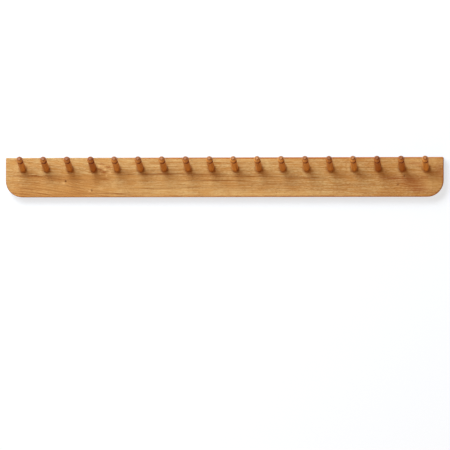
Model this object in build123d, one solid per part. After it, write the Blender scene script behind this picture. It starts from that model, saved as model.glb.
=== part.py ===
from build123d import *
import os
from math import cos, radians, sin

# Wall-hung oak rail with a row of slanted turned pegs, in millimetres.
# X runs along the rail, to the right as seen from the room. +Y points into the wall and +Z up.
# The origin is the centre of the board's back face, which lies against the wall.

# Row of pegs
peg_count = 18
peg_pitch = 65.0               # from peg axis to peg axis
end_margin = 47.5              # end of the board to the axis of the first peg
peg_drop = 30.5                # top edge of the board down to the axes, at the front face
peg_tilt = 20.0                # degrees by which a peg rises towards its tip

# Board
rail_height = 108.0
rail_thickness = 20.0
lower_corner_radius = 45.0
upper_corner_radius = 3.0
front_roundover = 2.5
back_edge_break = 1.0          # chamfer round the back face
bore_back_wall = 4.5           # oak left between a blind bore and the back face

# Turned peg: lengths run along its own axis
peg_diameter = 18.0            # also the diameter of the end glued into the board
peg_reach = 75.0               # from the board's front face to the tip
neck_taper_length = 20.0       # stretch behind the groove over which the shaft slims
neck_taper = 0.3               # radius lost over that stretch
groove_width = 8.5
groove_depth = 2.8             # below the shaft at the neck
head_length = 12.0             # from the groove to the tip
head_flare = 0.15              # how far the head's rim stands proud of the shaft's radius
rim_land = 1.3                 # straight band at the head's rim
crown_fall = 4.4               # radius lost from the rim to the flat tip
crown_bulge = 1.5              # how far the crown swells outside a plain cone
tip_edge_break = 0.8           # chamfer round the flat tip
tenon_chamfer = 1.0
glue_gap = 0.05                # radial gap between a peg and its bore
bore_end_gap = 0.2             # behind the end of a peg

# Keyhole plates let into the back face, which hook over screws in the wall
plate_after_peg = 2            # a plate lies midway between this peg, counted from its end, and the next
plate_drop = 30.0              # top edge of the board down to the middle of a plate
plate_length = 42.0
plate_width = 16.0
plate_thickness = 1.8
plate_inset = 0.1              # how far a plate lies under the back face
plate_side_gap = 0.25          # round a plate in its recess
keyhole_entry_diameter = 9.0   # takes the head of the wall screw
keyhole_slot_width = 4.6       # takes the shank of the wall screw
keyhole_travel = 10.0          # from the entry up to the seat
pocket_width = 11.0            # hollow in the oak behind a keyhole
pocket_depth = 6.0

# Countersunk cross-head wood screws that hold the plates
screw_inset = 6.0              # end of a plate to the screw's axis
screw_length = 12.0
screw_head_diameter = 6.0
screw_head_land = 0.2
screw_thread_diameter = 3.0
screw_core_diameter = 2.2
screw_thread_pitch = 1.2
screw_plain_length = 3.0       # unthreaded shank under the face of the head
screw_point_length = 2.4
screw_gap = 0.05               # round a screw in its plate and in the oak
recess_span = 3.4              # across the cross recess
recess_slot = 0.8
recess_depth = 1.0

# Worked out
rail_length = (peg_count - 1) * peg_pitch + 2 * end_margin
peg_radius = peg_diameter / 2
bore_radius = peg_radius + glue_gap
peg_height = rail_height / 2 - peg_drop
peg_places = [(i - (peg_count - 1) / 2) * peg_pitch for i in range(peg_count)]
bore_depth = (rail_thickness - bore_back_wall - bore_radius * sin(radians(peg_tilt))) / cos(radians(peg_tilt))
plate_height = rail_height / 2 - plate_drop
plate_out = (peg_places[-plate_after_peg] + peg_places[-plate_after_peg - 1]) / 2
plate_places = {"left": -plate_out, "right": plate_out}
recess_floor = plate_inset + plate_thickness
screw_offsets = (plate_length / 2 - screw_inset, screw_inset - plate_length / 2)


def on_peg_axis(x):
    """Frame of a peg: origin where its axis meets the front face, +Z out towards the tip."""
    return Pos(x, -rail_thickness, peg_height) * Rot(90 - peg_tilt, 0, 0)


def on_plate(x):
    """Drawing plane of a keyhole plate on the back face: Y up, normal into the board."""
    return Plane.XZ * Pos(x, plate_height)


def on_screw_axis(x, offset):
    """Frame of a plate screw: origin on the face of its head, +Z out towards the wall."""
    return Pos(x, -plate_inset, plate_height + offset) * Rot(-90, 0, 0)


def turned(outline):
    """Solid of revolution about Z from a list of edges that starts and ends on the axis."""
    edges = Curve() + outline
    axis_line = Line(edges @ 1, edges @ 0)
    return revolve(Plane.XZ * make_face(edges + axis_line), Axis.Z)


def screw_hole():
    """Cutter for a countersunk screw, with its gap, on the screw's own axis."""
    head = screw_head_diameter / 2 + screw_gap
    shank = screw_thread_diameter / 2 + screw_gap
    land = -screw_head_land
    neck = land - (head - shank)
    return turned(Polyline(
        (0, plate_inset + 1), (head, plate_inset + 1), (head, land), (shank, neck),
        (shank, -screw_length - bore_end_gap), (0, -screw_length - bore_end_gap),
    ))


def make_board():
    """Plank with round lower corners, slanted blind bores and recesses for the plates."""
    outline = Rectangle(rail_length, rail_height)
    outline = fillet(outline.vertices().group_by(Axis.Y)[0], lower_corner_radius)
    outline = fillet(outline.vertices().group_by(Axis.Y)[-1], upper_corner_radius)
    board = extrude(Plane.XZ * outline, rail_thickness)
    roundover = min(front_roundover, 0.9 * upper_corner_radius)
    board = fillet(board.faces().sort_by(Axis.Y)[0].edges(), roundover)
    board = chamfer(board.faces().sort_by(Axis.Y)[-1].edges(), back_edge_break)

    run_out = peg_diameter
    bore = Pos(0, 0, -bore_depth) * Cylinder(
        bore_radius, bore_depth + run_out, align=(Align.CENTER, Align.CENTER, Align.MIN))
    board -= [on_peg_axis(x) * bore for x in peg_places]

    for x in plate_places.values():
        recess = SlotOverall(plate_length + 2 * plate_side_gap, plate_width + 2 * plate_side_gap, 90)
        pocket = SlotCenterToCenter(keyhole_travel, pocket_width, 90)
        board -= extrude(on_plate(x) * recess, recess_floor)
        board -= extrude(on_plate(x) * pocket, recess_floor + pocket_depth)
        board -= [on_screw_axis(x, offset) * screw_hole() for offset in screw_offsets]
    return board


def make_peg():
    """Turned peg on its own axis: glued end, shaft, coved groove and crowned head."""
    tenon_end = bore_end_gap - bore_depth
    neck = peg_radius - neck_taper
    groove_start = peg_reach - head_length - groove_width
    groove_end = peg_reach - head_length
    rim = peg_radius + head_flare
    crown_start = groove_end + rim_land
    tip = rim - crown_fall
    shaft = Polyline(
        (0, tenon_end), (peg_radius - tenon_chamfer, tenon_end), (peg_radius, tenon_end + tenon_chamfer),
        (peg_radius, groove_start - neck_taper_length), (neck, groove_start),
    )
    groove = ThreePointArc(
        (neck, groove_start), (neck - groove_depth, (groove_start + groove_end) / 2), (rim, groove_end))
    land = Line((rim, groove_end), (rim, crown_start))
    crown = SagittaArc((rim, crown_start), (tip, peg_reach - tip_edge_break), -crown_bulge)
    end = Polyline((tip, peg_reach - tip_edge_break), (tip - tip_edge_break, peg_reach), (0, peg_reach))
    return turned([shaft, groove, land, crown, end])


def make_plate(x):
    """Pressed steel plate with a keyhole and two countersunk screw holes."""
    outline = SlotOverall(plate_length, plate_width, 90)
    keyhole = SlotCenterToCenter(keyhole_travel, keyhole_slot_width, 90)
    keyhole += Pos(0, -keyhole_travel / 2) * Circle(keyhole_entry_diameter / 2)
    face = Pos(0, -plate_inset, 0) * (on_plate(x) * (outline - keyhole))
    plate = extrude(face, plate_thickness, dir=(0, -1, 0))
    return plate - [on_screw_axis(x, offset) * screw_hole() for offset in screw_offsets]


def make_screw():
    """Countersunk wood screw on its own axis, with thread ridges and a cross recess."""
    head = screw_head_diameter / 2
    thread = screw_thread_diameter / 2
    core = screw_core_diameter / 2
    neck = -screw_head_land - (head - thread)
    point_start = screw_point_length - screw_length
    outline = [(0, 0), (head, 0), (head, -screw_head_land), (thread, neck), (thread, -screw_plain_length)]
    ridges = int((screw_length - screw_plain_length - screw_point_length) / screw_thread_pitch)
    for turn in range(ridges):
        top = -screw_plain_length - turn * screw_thread_pitch
        outline += [(core, top - screw_thread_pitch / 2), (thread, top - screw_thread_pitch)]
    outline += [(core, point_start - screw_thread_pitch / 2), (0, -screw_length)]
    screw = turned(Polyline(*outline))
    arm = Box(recess_span, recess_slot, 2 * recess_depth)
    return screw - arm - Rot(0, 0, 90) * arm


os.makedirs("parts", exist_ok=True)
export_step(make_board(), "parts/rail_board.step")

peg = make_peg()
for number, x in enumerate(peg_places, start=1):
    export_step(on_peg_axis(x) * peg, f"parts/peg_{number:02d}.step")

for side, x in plate_places.items():
    export_step(make_plate(x), f"parts/keyhole_plate_{side}.step")

screw = make_screw()
screws = [on_screw_axis(x, offset) * screw for x in plate_places.values() for offset in screw_offsets]
export_step(Compound(children=screws), "parts/plate_screws.step")
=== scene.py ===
from math import ceil, cos, exp, pi, radians, sin

import bpy
import numpy as np
from mathutils import Matrix, Vector


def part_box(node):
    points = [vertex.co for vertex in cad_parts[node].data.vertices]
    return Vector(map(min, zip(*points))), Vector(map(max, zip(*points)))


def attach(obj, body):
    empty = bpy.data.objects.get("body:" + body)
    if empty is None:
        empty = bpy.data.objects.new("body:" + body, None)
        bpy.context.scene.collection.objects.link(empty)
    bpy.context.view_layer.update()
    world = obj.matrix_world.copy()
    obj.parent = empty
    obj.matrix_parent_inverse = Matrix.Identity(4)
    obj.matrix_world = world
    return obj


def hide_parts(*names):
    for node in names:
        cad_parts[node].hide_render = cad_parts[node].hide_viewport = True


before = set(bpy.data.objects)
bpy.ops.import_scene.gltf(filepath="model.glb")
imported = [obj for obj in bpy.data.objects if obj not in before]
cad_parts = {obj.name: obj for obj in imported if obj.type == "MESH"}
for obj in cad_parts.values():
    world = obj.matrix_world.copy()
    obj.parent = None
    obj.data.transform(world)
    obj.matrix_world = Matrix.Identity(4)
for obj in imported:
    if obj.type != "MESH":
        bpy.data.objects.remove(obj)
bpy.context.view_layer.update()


# ---------------------------------------------------------------------------
# The room: a long-lens camera a little below the rail, a white wall that the
# rail lies flat on, and a pale floor far below it. None of it is the object.
# ---------------------------------------------------------------------------
camera_place = Vector((0.942, -10.000, -0.322))
camera_yaw = radians(5.366)
camera_pitch = radians(1.094)
camera_roll = radians(0.060)

ahead = Vector((-sin(camera_yaw) * cos(camera_pitch),
                cos(camera_yaw) * cos(camera_pitch),
                sin(camera_pitch)))
level = Vector((cos(camera_yaw), sin(camera_yaw), 0))
upward = level.cross(ahead)
right = cos(camera_roll) * level + sin(camera_roll) * upward
up = cos(camera_roll) * upward - sin(camera_roll) * level

camera_data = bpy.data.cameras.new("camera")
camera_data.sensor_width = 36
camera_data.lens = 293.97
camera_data.clip_end = 60
camera = bpy.data.objects.new("camera", camera_data)
camera.matrix_world = Matrix.Translation(camera_place) @ Matrix((right, up, -ahead)).transposed().to_4x4()
bpy.context.scene.collection.objects.link(camera)
bpy.context.scene.camera = camera
bpy.context.scene.view_settings.view_transform = "Standard"

# Name, direction that the light comes from, distance and width in metres, power in watts and linear colour.
# The first two stand side by side as one long soft light, the third is what a pale floor throws back up, and
# the last lights the back of the rail, which only other cameras see.
lamps = [
    ("high_light", (-0.5, -1.0, 1.2), 5.0, 2.9, 208, (0.97, 1.06, 1.15)),
    ("left_light", (-1.0, -1.0, 0.7), 5.0, 2.9, 122, (0.97, 1.06, 1.15)),
    ("floor_light", (0.0, -0.75, -1.0), 4.0, 6.0, 80, (1.0, 0.70, 0.36)),
    ("back_light", (0.5, 1.0, 0.6), 3.5, 2.5, 60, (1.0, 1.0, 1.0)),
]
for name, direction, distance, width, power, colour in lamps:
    lamp_data = bpy.data.lights.new(name, "AREA")
    lamp_data.shape = "DISK"
    lamp_data.size = width
    lamp_data.energy = power
    lamp_data.color = colour
    lamp = bpy.data.objects.new(name, lamp_data)
    lamp.location = Vector(direction).normalized() * distance
    lamp.rotation_euler = (-lamp.location).to_track_quat("-Z", "Y").to_euler()
    bpy.context.scene.collection.objects.link(lamp)


def srgb(code):
    """A colour written as sRGB hex, as the linear colour that a shader takes."""
    values = np.array([int(code[i:i + 2], 16) for i in (1, 3, 5)]) / 255
    linear = np.where(values <= 0.04045, values / 12.92, ((values + 0.055) / 1.055) ** 2.4)
    return (*linear.tolist(), 1)


def add(tree, kind, inputs=None, **settings):
    """Adds a node with its settings, and fills its inputs with values or with other nodes' outputs."""
    made = tree.nodes.new(kind)
    for name, value in settings.items():
        setattr(made, name, value)
    for socket, value in (inputs or {}).items():
        if isinstance(value, bpy.types.NodeSocket):
            tree.links.new(value, made.inputs[socket])
        else:
            made.inputs[socket].default_value = value
    return made


def looked_at(tree):
    """1 for what the camera sees, also in a reflection or through glass, and 0 for rays that carry light."""
    path = add(tree, "ShaderNodeLightPath").outputs
    seen = add(tree, "ShaderNodeMath", {0: path["Is Camera Ray"], 1: path["Is Glossy Ray"]},
               operation="MAXIMUM")
    seen = add(tree, "ShaderNodeMath", {0: seen.outputs[0], 1: path["Is Transmission Ray"]},
               operation="MAXIMUM")
    return seen.outputs[0]


# The room's own light is dim and warm. Looked at, it is plain white.
room_strength, room_colour = 0.24, srgb("#ffb581")
world = bpy.data.worlds.new("white_room")
bpy.context.scene.world = world
world.use_nodes = True
tree = world.node_tree
tree.nodes.clear()
seen = looked_at(tree)
strength = add(tree, "ShaderNodeMapRange", {"Value": seen, "To Min": room_strength})
tint = add(tree, "ShaderNodeMix", {0: seen, 6: room_colour, 7: srgb("#ffffff")}, data_type="RGBA")
background = add(tree, "ShaderNodeBackground", {"Color": tint.outputs[2], "Strength": strength.outputs[0]})
add(tree, "ShaderNodeOutputWorld", {"Surface": background.outputs[0]})

# The wall and the floor: corners in metres, and the colour and strength of the glow. The floor lies far from
# the lamps, so its glow is the stronger one, and neutral.
wall_gap = 0.0005
floor_height = -1.5
stage_sheets = {
    "wall": ([(-8, wall_gap, floor_height), (8, wall_gap, floor_height), (8, wall_gap, 5), (-8, wall_gap, 5)],
             srgb("#ecf7ff"), 0.71),
    "floor": ([(-8, -9, floor_height), (8, -9, floor_height), (8, 9, floor_height), (-8, 9, floor_height)],
              srgb("#ffffff"), 0.8),
}
for name, (corners, glow_colour, glow_strength) in stage_sheets.items():
    # Matt white paint keeps the object's shadow. Its glow makes it as pale as in a bright room without more
    # light on the object. It shows only where it is looked at, and only from its front.
    paint = bpy.data.materials.new(f"matt_paint_of_{name}")
    paint.use_nodes = True
    tree = paint.node_tree
    tree.nodes.clear()
    facing = add(tree, "ShaderNodeNewGeometry").outputs
    shown = add(tree, "ShaderNodeMath", {0: looked_at(tree), 1: facing["Backfacing"]},
                operation="SUBTRACT", use_clamp=True)
    matt = add(tree, "ShaderNodeBsdfDiffuse", {"Color": srgb("#a6a6a6")})
    glow = add(tree, "ShaderNodeEmission", {"Color": glow_colour, "Strength": glow_strength})
    lit = add(tree, "ShaderNodeAddShader", {0: matt.outputs[0], 1: glow.outputs[0]})
    clear = add(tree, "ShaderNodeBsdfTransparent")
    mixed = add(tree, "ShaderNodeMixShader", {0: shown.outputs[0], 1: clear.outputs[0], 2: lit.outputs[0]})
    add(tree, "ShaderNodeOutputMaterial", {"Surface": mixed.outputs[0]})

    sheet_mesh = bpy.data.meshes.new(name)
    sheet_mesh.from_pydata(corners, [], [(0, 1, 2, 3)])
    sheet_mesh.materials.append(paint)
    sheet = bpy.data.objects.new(name, sheet_mesh)
    bpy.context.scene.collection.objects.link(sheet)


# ---------------------------------------------------------------------------
# The board: one plank of solid oak, sawn between rift and plain, so its rings
# run along it as lines that drift and here and there close into long tongues.
# It is planed, drilled for the pegs, rounded over in front, sanded and oiled.
# ---------------------------------------------------------------------------
mm = 0.001
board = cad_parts["rail_board"]
board_low, board_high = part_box("rail_board")

# The row of pegs that it is drilled for, in millimetres.
peg_count, peg_pitch, peg_radius = 18, 65.0, 9.0
peg_foot_height = 23.5              # where a peg's axis meets the front face
peg_tilt = radians(20)              # how steeply a peg rises


def oak_figure(tree, place, swell, pith, ring_width, drift_width, fibre_width, fibre_length):
    """Patterns of a piece of oak whose fibres run along X, from the position in the timber in metres.

    Rings: tubes round a pith that runs along X. A ring's number is the distance from the pith, bent by
    slow noise and by the swell round knots, over the ring width. Each ring starts at once with dark
    porous early wood and fades into pale late wood, more strongly in some rings and places than in others.
    Fibres: noise drawn out along X. Pores: short thin dashes of the same, most in the early wood.
    Returns the early wood, the fibres and the pores, each from 0 to 1.
    """
    slow_length, slow_width = 60 * drift_width, 12 * drift_width
    drift = add(tree, "ShaderNodeMapping", {
        "Vector": place, "Scale": (1 / slow_length, 1 / slow_width, 1 / slow_width)})
    drift = add(tree, "ShaderNodeTexNoise", {
        "Vector": drift.outputs[0], "Scale": 1.0, "Detail": 3.0, "Roughness": 0.5})
    drift = add(tree, "ShaderNodeVectorMath", {
        0: drift.outputs["Color"], 1: (0, 2 * drift_width, 2 * drift_width),
        2: (0, -drift_width, -drift_width)}, operation="MULTIPLY_ADD")
    bent = add(tree, "ShaderNodeVectorMath", {0: place, 1: drift.outputs[0]}, operation="ADD").outputs[0]

    across = add(tree, "ShaderNodeVectorMath", {0: bent, 1: (0, 1, 1), 2: (0, -pith[0], -pith[1])},
                 operation="MULTIPLY_ADD")
    distance = add(tree, "ShaderNodeVectorMath", {0: across.outputs[0]}, operation="LENGTH")
    distance = add(tree, "ShaderNodeMath", {0: distance.outputs["Value"], 1: swell}, operation="ADD")
    uneven = add(tree, "ShaderNodeTexNoise", {
        "W": distance.outputs[0], "Scale": 1 / (3 * ring_width), "Detail": 1.0}, noise_dimensions="1D")
    number = add(tree, "ShaderNodeMath", {
        0: distance.outputs[0], 1: 1 / ring_width, 2: uneven.outputs["Fac"]}, operation="MULTIPLY_ADD")
    part = add(tree, "ShaderNodeMath", {0: number.outputs[0]}, operation="FRACT")
    whole = add(tree, "ShaderNodeMath", {0: number.outputs[0]}, operation="FLOOR")

    # In a ring, the early wood starts within a tenth of its width and has faded out at three quarters.
    start = add(tree, "ShaderNodeMapRange", {"Value": part.outputs[0], "From Max": 0.10},
                interpolation_type="SMOOTHSTEP")
    fading = add(tree, "ShaderNodeMapRange", {
        "Value": part.outputs[0], "From Min": 0.12, "From Max": 0.75, "To Min": 1.0, "To Max": 0.0},
        interpolation_type="SMOOTHSTEP")
    vigour = add(tree, "ShaderNodeTexWhiteNoise", {"W": whole.outputs[0]}, noise_dimensions="1D")
    vigour = add(tree, "ShaderNodeMapRange", {"Value": vigour.outputs["Value"], "To Min": 0.25})
    patch_length, patch_width = 111 * mm, 22.2 * mm
    patchy = add(tree, "ShaderNodeMapping", {
        "Vector": bent, "Scale": (1 / patch_length, 1 / patch_width, 1 / patch_width)})
    patchy = add(tree, "ShaderNodeTexNoise", {"Vector": patchy.outputs[0], "Scale": 1.0, "Detail": 2.0})
    patchy = add(tree, "ShaderNodeMapRange", {
        "Value": patchy.outputs["Fac"], "From Min": 0.35, "From Max": 0.65, "To Min": 0.2},
        interpolation_type="SMOOTHSTEP")
    early = start.outputs[0]
    for factor in (fading, vigour, patchy):
        early = add(tree, "ShaderNodeMath", {0: early, 1: factor.outputs[0]}, operation="MULTIPLY").outputs[0]

    fibres = add(tree, "ShaderNodeMapping", {
        "Vector": bent, "Scale": (1 / fibre_length, 1 / fibre_width, 1 / fibre_width)})
    fibres = add(tree, "ShaderNodeTexNoise", {
        "Vector": fibres.outputs[0], "Scale": 1.0, "Detail": 4.0, "Roughness": 0.6})

    # Real pores are about 0.2 mm wide, which is too fine to show, so they are drawn twice as wide.
    pore_length, pore_width, pore_sharpness = 6.25 * mm, 0.455 * mm, 14.0
    dashes = add(tree, "ShaderNodeMapping", {
        "Vector": bent, "Scale": (1 / pore_length, 1 / pore_width, 1 / pore_width)})
    dashes = add(tree, "ShaderNodeTexNoise", {"Vector": dashes.outputs[0], "Scale": 1.0, "Detail": 1.0})
    threshold = add(tree, "ShaderNodeMapRange", {"Value": early, "To Min": 0.70, "To Max": 0.50})
    pores = add(tree, "ShaderNodeMath", {0: dashes.outputs["Fac"], 1: threshold.outputs[0]},
                operation="SUBTRACT")
    pores = add(tree, "ShaderNodeMath", {0: pores.outputs[0], 1: pore_sharpness},
                operation="MULTIPLY", use_clamp=True)
    return early, fibres.outputs["Fac"], pores.outputs[0]


def spots(tree, place, marks):
    """Soft oval spots on the board's face, summed, each given by its centre, reach and strength.

    A spot is strength * exp(-r * r), where r is the distance from its centre in reaches. Centres and
    reaches are in millimetres along X and Z.
    """
    summed = 0.0
    for centre, reach, strength in marks:
        scaled = add(tree, "ShaderNodeMapping", {
            "Vector": place, "Scale": (1 / (reach[0] * mm), 0, 1 / (reach[1] * mm)),
            "Location": (-centre[0] / reach[0], 0, -centre[1] / reach[1])})
        square = add(tree, "ShaderNodeVectorMath", {0: scaled.outputs[0], 1: scaled.outputs[0]},
                     operation="DOT_PRODUCT")
        bell = add(tree, "ShaderNodeMath", {0: exp(-1), 1: square.outputs["Value"]}, operation="POWER")
        summed = add(tree, "ShaderNodeMath", {0: bell.outputs[0], 1: strength, 2: summed},
                     operation="MULTIPLY_ADD").outputs[0]
    return summed


# Oak, sanded and oiled: pale straw to brown, dry and almost without shine, with lines, pores and knots.
board_material = bpy.data.materials.new("oiled_oak_plank")
board_material.use_nodes = True
tree = board_material.node_tree
tree.nodes.clear()
coordinates = add(tree, "ShaderNodeTexCoord").outputs
at = coordinates["Object"]
place = add(tree, "ShaderNodeSeparateXYZ", {0: at}).outputs
along_board = add(tree, "ShaderNodeMapRange", {
    "Value": place["X"], "From Min": board_low.x, "From Max": board_high.x}).outputs[0]

# The grain falls by 42 mm towards the right over the left third of the board and is level after that.
fall = add(tree, "ShaderNodeMapRange", {
    "Value": place["X"], "From Min": -620 * mm, "From Max": -230 * mm, "To Max": 42 * mm},
    interpolation_type="SMOOTHSTEP")
fall = add(tree, "ShaderNodeCombineXYZ", {"Z": fall.outputs[0]})
in_grain = add(tree, "ShaderNodeVectorMath", {0: at, 1: fall.outputs[0]}, operation="ADD").outputs[0]

# Knots under the face swell the rings round them by so many millimetres, or draw them in.
swells = [
    ((-331, 14), (26, 12), 7), ((549, 2), (38, 22), 14), ((480, -12), (30, 14), -8),
    ((-430, -12), (22, 7), -4), ((-362, -36), (24, 7), 4),
]
swell = spots(tree, at, [(centre, reach, size * mm) for centre, reach, size in swells])

# Single fibres are too fine to show, so they are drawn as streaks of many, 2.3 mm wide.
early, fibres, pores = oak_figure(
    tree, in_grain, swell, pith=(70 * mm, -95 * mm), ring_width=2.9 * mm, drift_width=9 * mm,
    fibre_width=2.3 * mm, fibre_length=45 * mm)
banded = add(tree, "ShaderNodeMath", {0: early, 1: 0.85}, operation="MULTIPLY").outputs[0]
streaks = add(tree, "ShaderNodeMapRange", {
    "Value": fibres, "From Min": 0.41, "From Max": 0.61, "To Max": 0.85}).outputs[0]

# Deeper wood: over the lower left, along the middle and the lower edge, and round the knots.
deep = spots(tree, at, [
    ((-328, 14), (24, 20), 0.3), ((-500, -38), (200, 26), 0.8), ((-430, 0), (150, 9), 0.5),
    ((-380, -20), (90, 40), 0.35), ((-60, -2), (330, 8), 0.4), ((20, -25), (110, 30), 0.3),
    ((0, -52), (640, 4), 0.6), ((330, -14), (200, 22), 0.05), ((540, -14), (110, 42), 0.45),
])

# Brown blotches and a fine mottle, both drawn out along the grain and stronger towards the right end.
blotch_length, blotch_width = 71.5 * mm, 25 * mm
blotch = add(tree, "ShaderNodeMapping", {
    "Vector": in_grain, "Scale": (1 / blotch_length, 1 / blotch_width, 1 / blotch_width)})
blotch = add(tree, "ShaderNodeTexNoise", {
    "Vector": blotch.outputs[0], "Scale": 1.0, "Detail": 3.0, "Roughness": 0.55})
blotched = add(tree, "ShaderNodeMapRange", {
    "Value": along_board, "From Min": 0.55, "To Min": 0.3, "To Max": 0.6})
blotch = add(tree, "ShaderNodeMapRange", {
    "Value": blotch.outputs["Fac"], "From Min": 0.4, "From Max": 0.72, "To Max": blotched.outputs[0]})
mottle_length, mottle_width = 7.7 * mm, 3.45 * mm
mottle = add(tree, "ShaderNodeMapping", {
    "Vector": in_grain, "Scale": (1 / mottle_length, 1 / mottle_width, 1 / mottle_width)})
mottle = add(tree, "ShaderNodeTexNoise", {
    "Vector": mottle.outputs[0], "Scale": 1.0, "Detail": 2.0, "Roughness": 0.6})
mottled = add(tree, "ShaderNodeMapRange", {
    "Value": along_board, "From Min": 0.6, "To Min": 0.6, "To Max": 0.95})
mottle = add(tree, "ShaderNodeMapRange", {
    "Value": mottle.outputs["Fac"], "From Min": 0.4, "From Max": 0.7, "To Max": mottled.outputs[0]})

# Paler sapwood shows low on the board, along its upper edge and at its right end.
pale = spots(tree, at, [
    ((-490, 45), (160, 8), 0.1), ((-220, 47), (130, 5), 0.15), ((-170, -38), (200, 20), 0.25),
    ((60, 47.5), (150, 3.5), 0.4), ((150, -46), (170, 6), 0.25), ((160, -42), (200, 14), 0.12),
    ((530, 42), (60, 9), 0.4), ((574, -18), (26, 16), 0.35),
])

# Dark mineral lines: some level, some falling with the grain, and broken where the fibres are pale.
level_lines = spots(tree, at, [
    ((-520, 4), (120, 2.0), 0.6), ((-420, -46), (90, 1.5), 0.25), ((-400, -6), (60, 2.0), 0.4),
    ((-290, 14), (50, 1.5), 0.4), ((-290, -44), (90, 1.4), 0.5), ((-220, 8), (75, 1.6), 0.7),
    ((-190, -31), (60, 1.5), 0.5), ((-146, 10), (70, 1.3), 0.7), ((-78, -28), (80, 1.6), 0.5),
    ((-75, -9), (50, 1.6), 0.5), ((-30, 8), (150, 1.3), 0.6), ((0, 36), (240, 1.2), 0.35),
    ((2, -9), (45, 1.8), 0.7), ((60, 2), (120, 2.0), 0.5), ((60, 40), (280, 1.4), 0.35),
    ((110, -13), (60, 1.4), 0.45), ((150, -19), (90, 1.8), 0.5), ((235, -3), (70, 2.6), 0.45),
    ((330, -34), (80, 1.5), 0.3), ((370, -20), (70, 1.8), 0.4), ((390, 6), (80, 1.5), 0.45),
    ((420, 40), (120, 1.5), 0.3), ((430, -43), (70, 1.6), 0.35), ((540, 26), (40, 1.5), 0.4),
    ((560, -44), (40, 1.8), 0.5),
])
falling_lines = spots(tree, in_grain, [
    ((-560, -12), (50, 1.5), 0.4), ((-550, -26), (55, 1.5), 0.55), ((-530, -44), (60, 1.4), 0.45),
    ((-518, -35), (60, 1.6), 0.6), ((-500, 12), (70, 1.3), 0.35), ((-480, -22), (70, 1.4), 0.4),
    ((-420, -3), (60, 1.5), 0.45), ((-286, -7), (32, 1.8), 0.6),
])
lines = add(tree, "ShaderNodeMath", {0: level_lines, 1: falling_lines}, operation="ADD")
broken = add(tree, "ShaderNodeMapRange", {
    "Value": fibres, "From Min": 0.35, "From Max": 0.6, "To Min": 0.35, "To Max": 1.3}).outputs[0]
lines = add(tree, "ShaderNodeMath", {0: lines.outputs[0], 1: broken}, operation="MULTIPLY", use_clamp=True)

# Marks round the knots have ragged outlines: their places are shifted by noise, up to 4 mm each way.
ragged_size, ragged_shift = 2.86 * mm, 4 * mm
ragged = add(tree, "ShaderNodeTexNoise", {"Vector": at, "Scale": 1 / ragged_size, "Detail": 2.0})
ragged = add(tree, "ShaderNodeVectorMath", {
    0: ragged.outputs["Color"], 1: 3 * [2 * ragged_shift], 2: at}, operation="MULTIPLY_ADD")
ragged = add(tree, "ShaderNodeVectorMath", {0: ragged.outputs[0], 1: 3 * [ragged_shift]},
             operation="SUBTRACT").outputs[0]

# Brown marks where the fibres dive into the face: a swirl at the left and a burl at the right end.
dives = spots(tree, ragged, [
    ((-338, 21), (8, 2.5), 0.95), ((-334, 38), (7, 2.5), 0.8), ((-328, 15), (8, 2.5), 1.0),
    ((-322, -4), (10, 3), 0.5), ((-316, 28), (7, 2.5), 0.8), ((456, -3), (36, 4), 0.6),
    ((500, -8), (36, 13), 0.6), ((524, 37), (26, 5), 0.6), ((530, -27), (28, 11), 0.45),
    ((535, -36), (28, 5), 0.6), ((548, -2), (16, 4), 0.7), ((560, 14), (20, 3), 0.5),
    ((590, 18), (10, 22), 0.5),
])
dives = add(tree, "ShaderNodeMath", {0: dives, 1: broken}, operation="MULTIPLY", use_clamp=True)

# Pin knots are dark dots, and pale flecks lie beside them and in the swirl.
pin_knots = spots(tree, ragged, [
    ((-434, -10), (2.4, 2.4), 1.0), ((-362, -35), (2.4, 2.4), 1.0), ((476, -21), (3.0, 3.0), 0.6),
    ((494, 3), (2.4, 2.4), 0.8),
])
flecks = spots(tree, ragged, [
    ((-440, -16), (3.5, 2.5), 0.5), ((-367, -37), (3, 2), 0.5), ((-343, 31), (6, 2.5), 0.5),
    ((-340, 10), (5, 2.5), 0.4), ((-338, -31), (9, 4), 0.3), ((-332, 29), (5, 2), 0.35),
    ((-326, 22), (5, 3), 0.6), ((-322, 6), (2.5, 3), 0.45), ((-312, 12), (6, 3), 0.5),
    ((520, 12), (20, 4), 0.25), ((552, -29), (22, 4), 0.15),
])

# The rounded front edges, cut across the fibres and sanded, drink more oil and are browner than the face, and
# as they turn away from the front they are painted darker still, as painted shade. This is most along the top
# right and least at the top left. The narrow sides are half as brown, and the back, which hangs on the wall,
# is left as planed.
outwards = add(tree, "ShaderNodeSeparateXYZ", {0: coordinates["Normal"]}).outputs["Y"]
rounded = add(tree, "ShaderNodeMapRange", {
    "Value": outwards, "From Min": -0.98, "From Max": -0.7, "To Max": 0.7}, interpolation_type="SMOOTHSTEP")
side = add(tree, "ShaderNodeMapRange", {"Value": outwards, "From Min": -0.5, "From Max": -0.1},
           interpolation_type="SMOOTHSTEP")
back = add(tree, "ShaderNodeMapRange", {"Value": outwards, "From Min": 0.8, "From Max": 0.95},
           interpolation_type="SMOOTHSTEP")
front = add(tree, "ShaderNodeMath", {0: 1.0, 1: side.outputs[0]}, operation="SUBTRACT").outputs[0]
edge_oil_and_shade = spots(tree, at, [
    ((170, 52), (440, 2.5), 0.9), ((599, 15), (3, 45), 0.5), ((-470, 54), (180, 6), -0.8)])
edge_oil_and_shade = add(tree, "ShaderNodeMath", {0: edge_oil_and_shade, 1: front, 2: rounded.outputs[0]}, operation="MULTIPLY_ADD")
edge_oil_and_shade = add(tree, "ShaderNodeMath", {0: side.outputs[0], 1: -0.35, 2: edge_oil_and_shade.outputs[0]},
            operation="MULTIPLY_ADD")
edge_oil_and_shade = add(tree, "ShaderNodeMath", {0: back.outputs[0], 1: -0.3, 2: edge_oil_and_shade.outputs[0]},
            operation="MULTIPLY_ADD")
edge_oil_and_shade = add(tree, "ShaderNodeMath", {0: edge_oil_and_shade.outputs[0], 1: 0.85}, operation="MINIMUM")
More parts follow.
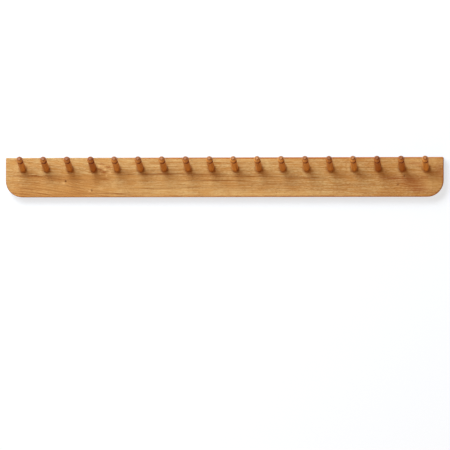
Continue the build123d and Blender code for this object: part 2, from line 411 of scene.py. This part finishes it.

# A ring round each peg's foot is browner too: partly oil that gathers in the joint, partly painted shade
# where the peg meets the board. As the pegs slant, it is an upright oval.
foot_ring_width = 7 * mm
foot_oil_and_shade = add(tree, "ShaderNodeMath", {0: place["X"], 1: peg_pitch * mm, 2: 0.0}, operation="WRAP")
foot_oil_and_shade = add(tree, "ShaderNodeCombineXYZ", {"X": foot_oil_and_shade.outputs[0], "Z": place["Z"]})
foot_oil_and_shade = add(tree, "ShaderNodeMapping", {
    "Vector": foot_oil_and_shade.outputs[0], "Scale": (1, 1, cos(peg_tilt)),
    "Location": (-peg_pitch * mm / 2, 0, -peg_foot_height * mm * cos(peg_tilt))})
foot_oil_and_shade = add(tree, "ShaderNodeVectorMath", {0: foot_oil_and_shade.outputs[0]}, operation="LENGTH")
foot_oil_and_shade = add(tree, "ShaderNodeMapRange", {
    "Value": foot_oil_and_shade.outputs["Value"],
    "From Min": peg_radius * mm, "From Max": peg_radius * mm + foot_ring_width,
    "To Min": 0.55, "To Max": 0.0}, interpolation_type="SMOOTHSTEP")
foot_oil_and_shade = add(tree, "ShaderNodeMath", {0: foot_oil_and_shade.outputs[0], 1: front}, operation="MULTIPLY")

# The wood's colours, laid over one another in this order, each as strongly as its pattern.
colour = srgb("#d4bc84")
for pattern, stain in [
    (deep, "#c79858"),
    (blotch.outputs[0], "#bb8546"),
    (mottle.outputs[0], "#af7a3f"),
    (streaks, "#b78241"),
    (banded, "#9a5b20"),
    (pale, "#dfbd7c"),
    (lines.outputs[0], "#854a1c"),
    (dives.outputs[0], "#965226"),
    (flecks, "#f0cd8e"),
    (pin_knots, "#5a260c"),
    (pores, "#6e3d16"),
    # Oil and painted shade on the rounded edges.
    (edge_oil_and_shade.outputs[0], "#b06527"),
    # Painted shade, with some oil, round each peg's foot.
    (foot_oil_and_shade.outputs[0], "#8a5020"),
]:
    colour = add(tree, "ShaderNodeMix", {0: pattern, 6: colour, 7: srgb(stain)}, data_type="RGBA").outputs[2]

# Sanding leaves the fibres a little proud and the pores open, and in these the oil dries dull.
height = add(tree, "ShaderNodeMath", {0: fibres, 1: pores}, operation="SUBTRACT")
relief = add(tree, "ShaderNodeBump", {"Height": height.outputs[0], "Distance": 0.05 * mm, "Strength": 0.4})
gloss = add(tree, "ShaderNodeMapRange", {"Value": pores, "To Min": 0.5, "To Max": 0.7})
shader = add(tree, "ShaderNodeBsdfPrincipled", {
    "Base Color": colour, "Roughness": gloss.outputs[0], "Specular IOR Level": 0.1,
    "Normal": relief.outputs[0]})
add(tree, "ShaderNodeOutputMaterial", {"Surface": shader.outputs[0]})
board.data.materials.clear()
board.data.materials.append(board_material)


# ---------------------------------------------------------------------------
# The pegs: 18 dowels of darker oiled oak, turned on a lathe with a groove
# behind a domed head whose tip is sanded flat, and glued into slanted holes.
# ---------------------------------------------------------------------------
# In millimetres, along the axis from the board's front face.
peg_end, peg_reach = -13.0, 75.0    # from the glued end, inside the board, to the tip
end_chamfer = 1.0
taper_length = 20.0                 # over which the shaft slims to the neck
groove_start, groove_end, groove_sag = 54.5, 63.0, 2.8
neck_radius, rim_radius, tip_radius = 8.7, 9.15, 4.75
crown_start, crown_end, crown_bulge = 64.3, 74.2, 1.5
tip_break = 0.8                     # broken edge of the flat tip
corner_softness = 0.35
points_around = 96

# Profile: distance along the axis and radius. The groove is an arc of a circle that lies its sag below the
# line from neck to rim. The crown is a straight cone plus its bulge times the sine of half a turn.
part = np.linspace(0, 1, 25)
groove_width = groove_end - groove_start
groove_circle = (groove_width ** 2 / 4 + groove_sag ** 2) / (2 * groove_sag)
profile = np.concatenate([
    [(peg_end, 0.0), (peg_end, peg_radius - end_chamfer), (peg_end + end_chamfer, peg_radius),
     (groove_start - taper_length, peg_radius)],
    np.stack([groove_start + groove_width * part,
              neck_radius + (rim_radius - neck_radius) * part + groove_circle - groove_sag
              - np.sqrt(groove_circle ** 2 - groove_width ** 2 * (part - 0.5) ** 2)], axis=1),
    np.stack([crown_start + (crown_end - crown_start) * part,
              rim_radius + (tip_radius - rim_radius) * part + crown_bulge * np.sin(pi * part)], axis=1),
    [(peg_reach, tip_radius - tip_break), (peg_reach, 0.0)],
])


def eased(points, softness):
    """The same profile with its corners rounded, as rows that lie closer where it curves.

    The line is cut into equal short steps, mirrored past both ends so that these stay square to
    the axis, and averaged with a bell-shaped weight as wide as the softness. Rows are then taken
    where the length run over the row spacing plus the angle turned over the row angle is whole.
    """
    row_spacing, row_angle = 2.2, radians(7)
    steps = 6                       # to one softness
    pad = 5 * steps                 # past which the weight is next to nothing
    step = softness / steps
    run = np.concatenate([[0], np.cumsum(np.hypot(*np.diff(points, axis=0).T))])
    fine = np.stack([np.interp(np.arange(0, run[-1], step), run, points[:, k]) for k in (0, 1)], axis=1)
    fine = np.concatenate([fine, points[-1:]])
    mirror = (1, -1)
    padded = np.concatenate([fine[pad:0:-1] * mirror, fine, fine[-2:-pad - 2:-1] * mirror])
    weight = np.exp(-0.5 * (np.arange(-pad, pad + 1) / steps) ** 2)
    weight /= weight.sum()
    soft = np.stack([np.convolve(padded[:, k], weight, "valid") for k in (0, 1)], axis=1)
    soft[[0, -1], 1] = 0
    heading = np.unwrap(np.arctan2(*np.gradient(soft, axis=0).T))
    count = np.cumsum(step / row_spacing + np.abs(np.gradient(heading)) / row_angle)
    last = ceil(count[-1])
    rows = np.interp(np.arange(last + 1) / last * (count[-1] - count[0]) + count[0],
                     count, np.arange(len(soft)))
    return np.stack([np.interp(rows, np.arange(len(soft)), soft[:, k]) for k in (0, 1)], axis=1)


def turned(rows, around):
    """A closed surface of revolution about Z from rows of (height, radius) that start and end on the axis.

    Point (i, j) is (radius_i cos a_j, radius_i sin a_j, height_i), where a_j goes once round. The first
    and last rows are one point each, joined to their neighbours by a fan. Returns points and faces.
    """
    angle = np.arange(around) * 2 * pi / around
    height, radius = rows[1:-1, 0], rows[1:-1, 1]
    ring = np.stack([np.outer(radius, np.cos(angle)), np.outer(radius, np.sin(angle)),
                     np.repeat(height[:, None], around, axis=1)], axis=2)
    points = np.concatenate([[(0, 0, rows[0, 0])], ring.reshape(-1, 3), [(0, 0, rows[-1, 0])]])
    here = 1 + np.arange(len(height) * around).reshape(-1, around)
    beside = np.roll(here, -1, axis=1)
    sides = np.stack([here[:-1], beside[:-1], beside[1:], here[1:]], axis=2).reshape(-1, 4)
    start = np.stack([0 * here[0], beside[0], here[0]], axis=1)
    end = np.stack([0 * here[0] + len(points) - 1, here[-1], beside[-1]], axis=1)
    return points, sides.tolist() + start.tolist() + end.tolist()


# Turned oak, sanded on the lathe and oiled: warm brown with a satin shine, darkest on end grain, where oil
# gathered and where shade is painted in the groove, at the rim and towards the board. Its fibres too are
# drawn as streaks of many.
peg_material = bpy.data.materials.new("oiled_oak_turned")
peg_material.use_nodes = True
tree = peg_material.node_tree
tree.nodes.clear()
coordinates = add(tree, "ShaderNodeTexCoord").outputs
timber = add(tree, "ShaderNodeAttribute", attribute_name="in_timber").outputs["Vector"]
shade = add(tree, "ShaderNodeAttribute", attribute_name="shade").outputs["Fac"]
oil_and_shade = add(tree, "ShaderNodeAttribute", attribute_name="oil_and_shade").outputs["Fac"]
early, fibres, pores = oak_figure(
    tree, timber, 0.0, pith=(0, 0), ring_width=1.9 * mm, drift_width=1.5 * mm,
    fibre_width=1.1 * mm, fibre_length=25 * mm)
banded = add(tree, "ShaderNodeMath", {0: early, 1: 0.8}, operation="MULTIPLY")
streaks = add(tree, "ShaderNodeMapRange", {
    "Value": fibres, "From Min": 0.35, "From Max": 0.68, "To Max": 0.6})

# End grain drinks more oil, so where the surface cuts across the fibres it is darker and redder.
facing = add(tree, "ShaderNodeVectorMath", {
    0: coordinates["Normal"], 1: (0, -cos(peg_tilt), sin(peg_tilt))}, operation="DOT_PRODUCT")
end_grain = add(tree, "ShaderNodeMapRange", {
    "Value": facing.outputs["Value"], "From Min": 0.6, "From Max": 0.9, "To Max": 0.65},
    interpolation_type="SMOOTHSTEP")
end_colour = add(tree, "ShaderNodeMix", {0: shade, 6: srgb("#ac6e40"), 7: srgb("#74401e")}, data_type="RGBA")

# A peg is painted darker over the last 16 mm towards the board: painted shade in the corner where it meets
# the board, with some oil and dust that stay there.
foot_length = 16 * mm
out_of_board = add(tree, "ShaderNodeSeparateXYZ", {0: coordinates["Object"]})
foot_oil_and_shade = add(tree, "ShaderNodeMapRange", {
    "Value": out_of_board.outputs["Y"], "From Min": board_low.y - foot_length, "From Max": board_low.y,
    "To Max": 0.6}, interpolation_type="SMOOTHSTEP")

# The wood's colours, laid over one another in this order, each as strongly as its pattern.
colour = srgb("#efb25e")
for pattern, stain in [
    (shade, srgb("#a86326")),
    (streaks.outputs[0], srgb("#a8621f")),
    (banded.outputs[0], srgb("#8e4e18")),
    (end_grain.outputs[0], end_colour.outputs[2]),
    # Painted shade, with some oil, in the groove and round the rim and tip.
    (oil_and_shade, srgb("#6b2d0a")),
    # Painted shade towards the board, with some oil and dust.
    (foot_oil_and_shade.outputs[0], srgb("#7b380d")),
    (pores, srgb("#5a2e10")),
]:
    colour = add(tree, "ShaderNodeMix", {0: pattern, 6: colour, 7: stain}, data_type="RGBA").outputs[2]

height = add(tree, "ShaderNodeMath", {0: fibres, 1: pores}, operation="SUBTRACT")
relief = add(tree, "ShaderNodeBump", {"Height": height.outputs[0], "Distance": 0.04 * mm, "Strength": 0.4})
shader = add(tree, "ShaderNodeBsdfPrincipled", {
    "Base Color": colour, "Roughness": 0.45, "Specular IOR Level": 0.25, "Normal": relief.outputs[0]})
add(tree, "ShaderNodeOutputMaterial", {"Surface": shader.outputs[0]})

peg_points, peg_faces = turned(eased(profile, corner_softness), points_around)
across, upwards, along = peg_points.T
from_axis = np.hypot(across, upwards)
on_head, on_crown = along > groove_end, along > crown_start

# Painted shade, with some gathered oil, in the groove, at the rim and round the edge of the tip. The shade is
# painted strongest on the right, the side turned from the light.
rim_oil_and_shade_width, tip_oil_and_shade_width = 1.2, 0.9
right_side_shade = np.clip(0.7 + 0.4 * across / neck_radius, 0, 1)
in_groove = (along > groove_start) & (along < groove_end)
peg_oil_and_shade = np.where(in_groove, np.clip(2.5 * (neck_radius - from_axis) / groove_sag, 0, 1) * right_side_shade, 0)
peg_oil_and_shade += np.where(on_head, 0.6 * right_side_shade * np.exp(-((along - crown_start) / rim_oil_and_shade_width) ** 2), 0)
peg_oil_and_shade += np.where(along > crown_end - 2, 0.8 * np.exp(-((from_axis - tip_radius) / tip_oil_and_shade_width) ** 2), 0)

# The band round the rim is painted the darkest, partly as shade under the head's edge, and the crown is
# nearly as pale as the shaft. The top of the crown is painted darker, as painted shade, and its underside
# paler, as painted light from below.
crown_tone = 0.12
head_tone_and_shade = np.interp(
    along, [groove_end - 0.5, groove_end, crown_start + 1.2, crown_start + 2.5], [0, 1, 1, crown_tone])
head_tone_and_shade += np.where(on_crown, 0.45 * upwards / rim_radius, 0)

# How dark each peg's wood is, from 0 to 1, from the left end of the rail, and how much darker than that its
# crown is.
peg_shade = [0.3, 0.4, 0.4, 0.9, 0.3, 0.35, 0.5, 0.45, 0.35, 0.1, 0.2, 0.35, 0.2, 0.35, 0.15, 0.9, 0.7, 0.0]
crown_shade = [0.35, 0.25, 0.35, 0.1, 0.25, 0.3, 0.0, 0.15, 0.0,
               0.0, -0.15, -0.2, 0.25, 0.4, 0.15, 0.0, 0.0, 0.15]
chance = np.random.default_rng(7)
for number in range(peg_count):
    placed = np.stack([
        ((number - (peg_count - 1) / 2) * peg_pitch + across) * mm,
        board_low.y + (upwards * sin(peg_tilt) - along * cos(peg_tilt)) * mm,
        (peg_foot_height + upwards * cos(peg_tilt) + along * sin(peg_tilt)) * mm,
    ], axis=1)
    name = f"peg_{number + 1:02d}"
    peg_mesh = bpy.data.meshes.new(f"turned_{name}")
    peg_mesh.from_pydata(placed, [], peg_faces)
    peg_mesh.shade_smooth()

    # Where the dowel lay in the log: each in its own metre, 30 to 70 mm off the pith, turned any way round.
    roll, off_pith = chance.uniform(0, 2 * pi), chance.uniform(30, 70)
    timber_place = np.stack([
        along + 1000 * number,
        off_pith + across * cos(roll) - upwards * sin(roll),
        across * sin(roll) + upwards * cos(roll),
    ], axis=1) * mm
    tone = np.clip(peg_shade[number] + head_tone_and_shade + crown_shade[number] * on_crown, 0, 1)
    attributes = peg_mesh.attributes
    attributes.new("in_timber", "FLOAT_VECTOR", "POINT").data.foreach_set("vector", timber_place.ravel())
    attributes.new("oil_and_shade", "FLOAT", "POINT").data.foreach_set("value", peg_oil_and_shade)
    attributes.new("shade", "FLOAT", "POINT").data.foreach_set("value", tone)

    peg_mesh.materials.append(peg_material)
    peg = bpy.data.objects.new(f"turned_{name}", peg_mesh)
    bpy.context.scene.collection.objects.link(peg)
    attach(peg, "root")
    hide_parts(name)


# ---------------------------------------------------------------------------
# The keyhole plates and their screws: pressed and drawn steel, bright zinc
# plated. The screws hold the plates flush in the back of the board, and the
# keyholes hook over two screws in the wall.
# ---------------------------------------------------------------------------
# Bright zinc on rolled steel: a cool silver, a little cloudy, with upright rolling lines in its shine. These
# are drawn a sixth of a millimetre wide, because the real ones are too fine to show.
zinc = bpy.data.materials.new("zinc_plated_steel")
zinc.use_nodes = True
tree = zinc.node_tree
tree.nodes.clear()
at = add(tree, "ShaderNodeTexCoord").outputs["Object"]
line_length, line_width = 4 * mm, mm / 6
rolled = add(tree, "ShaderNodeMapping", {
    "Vector": at, "Scale": (1 / line_width, 1 / line_width, 1 / line_length)})
rolled = add(tree, "ShaderNodeTexNoise", {"Vector": rolled.outputs[0], "Scale": 1.0, "Detail": 3.0})
cloud_size = 4.55 * mm
cloud = add(tree, "ShaderNodeTexNoise", {"Vector": at, "Scale": 1 / cloud_size, "Detail": 3.0})
silver = add(tree, "ShaderNodeMix", {0: cloud.outputs["Fac"], 6: srgb("#b9bcc2"), 7: srgb("#d6d5cd")},
             data_type="RGBA")
gloss = add(tree, "ShaderNodeMath", {0: rolled.outputs["Fac"], 1: 0.25, 2: 0.22}, operation="MULTIPLY_ADD")
relief = add(tree, "ShaderNodeBump", {
    "Height": rolled.outputs["Fac"], "Distance": 0.01 * mm, "Strength": 0.3})
shader = add(tree, "ShaderNodeBsdfPrincipled", {
    "Base Color": silver.outputs[2], "Metallic": 1.0, "Roughness": gloss.outputs[0],
    "Normal": relief.outputs[0]})
add(tree, "ShaderNodeOutputMaterial", {"Surface": shader.outputs[0]})
for name in ("keyhole_plate_left", "keyhole_plate_right", "plate_screws"):
    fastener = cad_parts[name]
    fastener.data.materials.clear()
    fastener.data.materials.append(zinc)
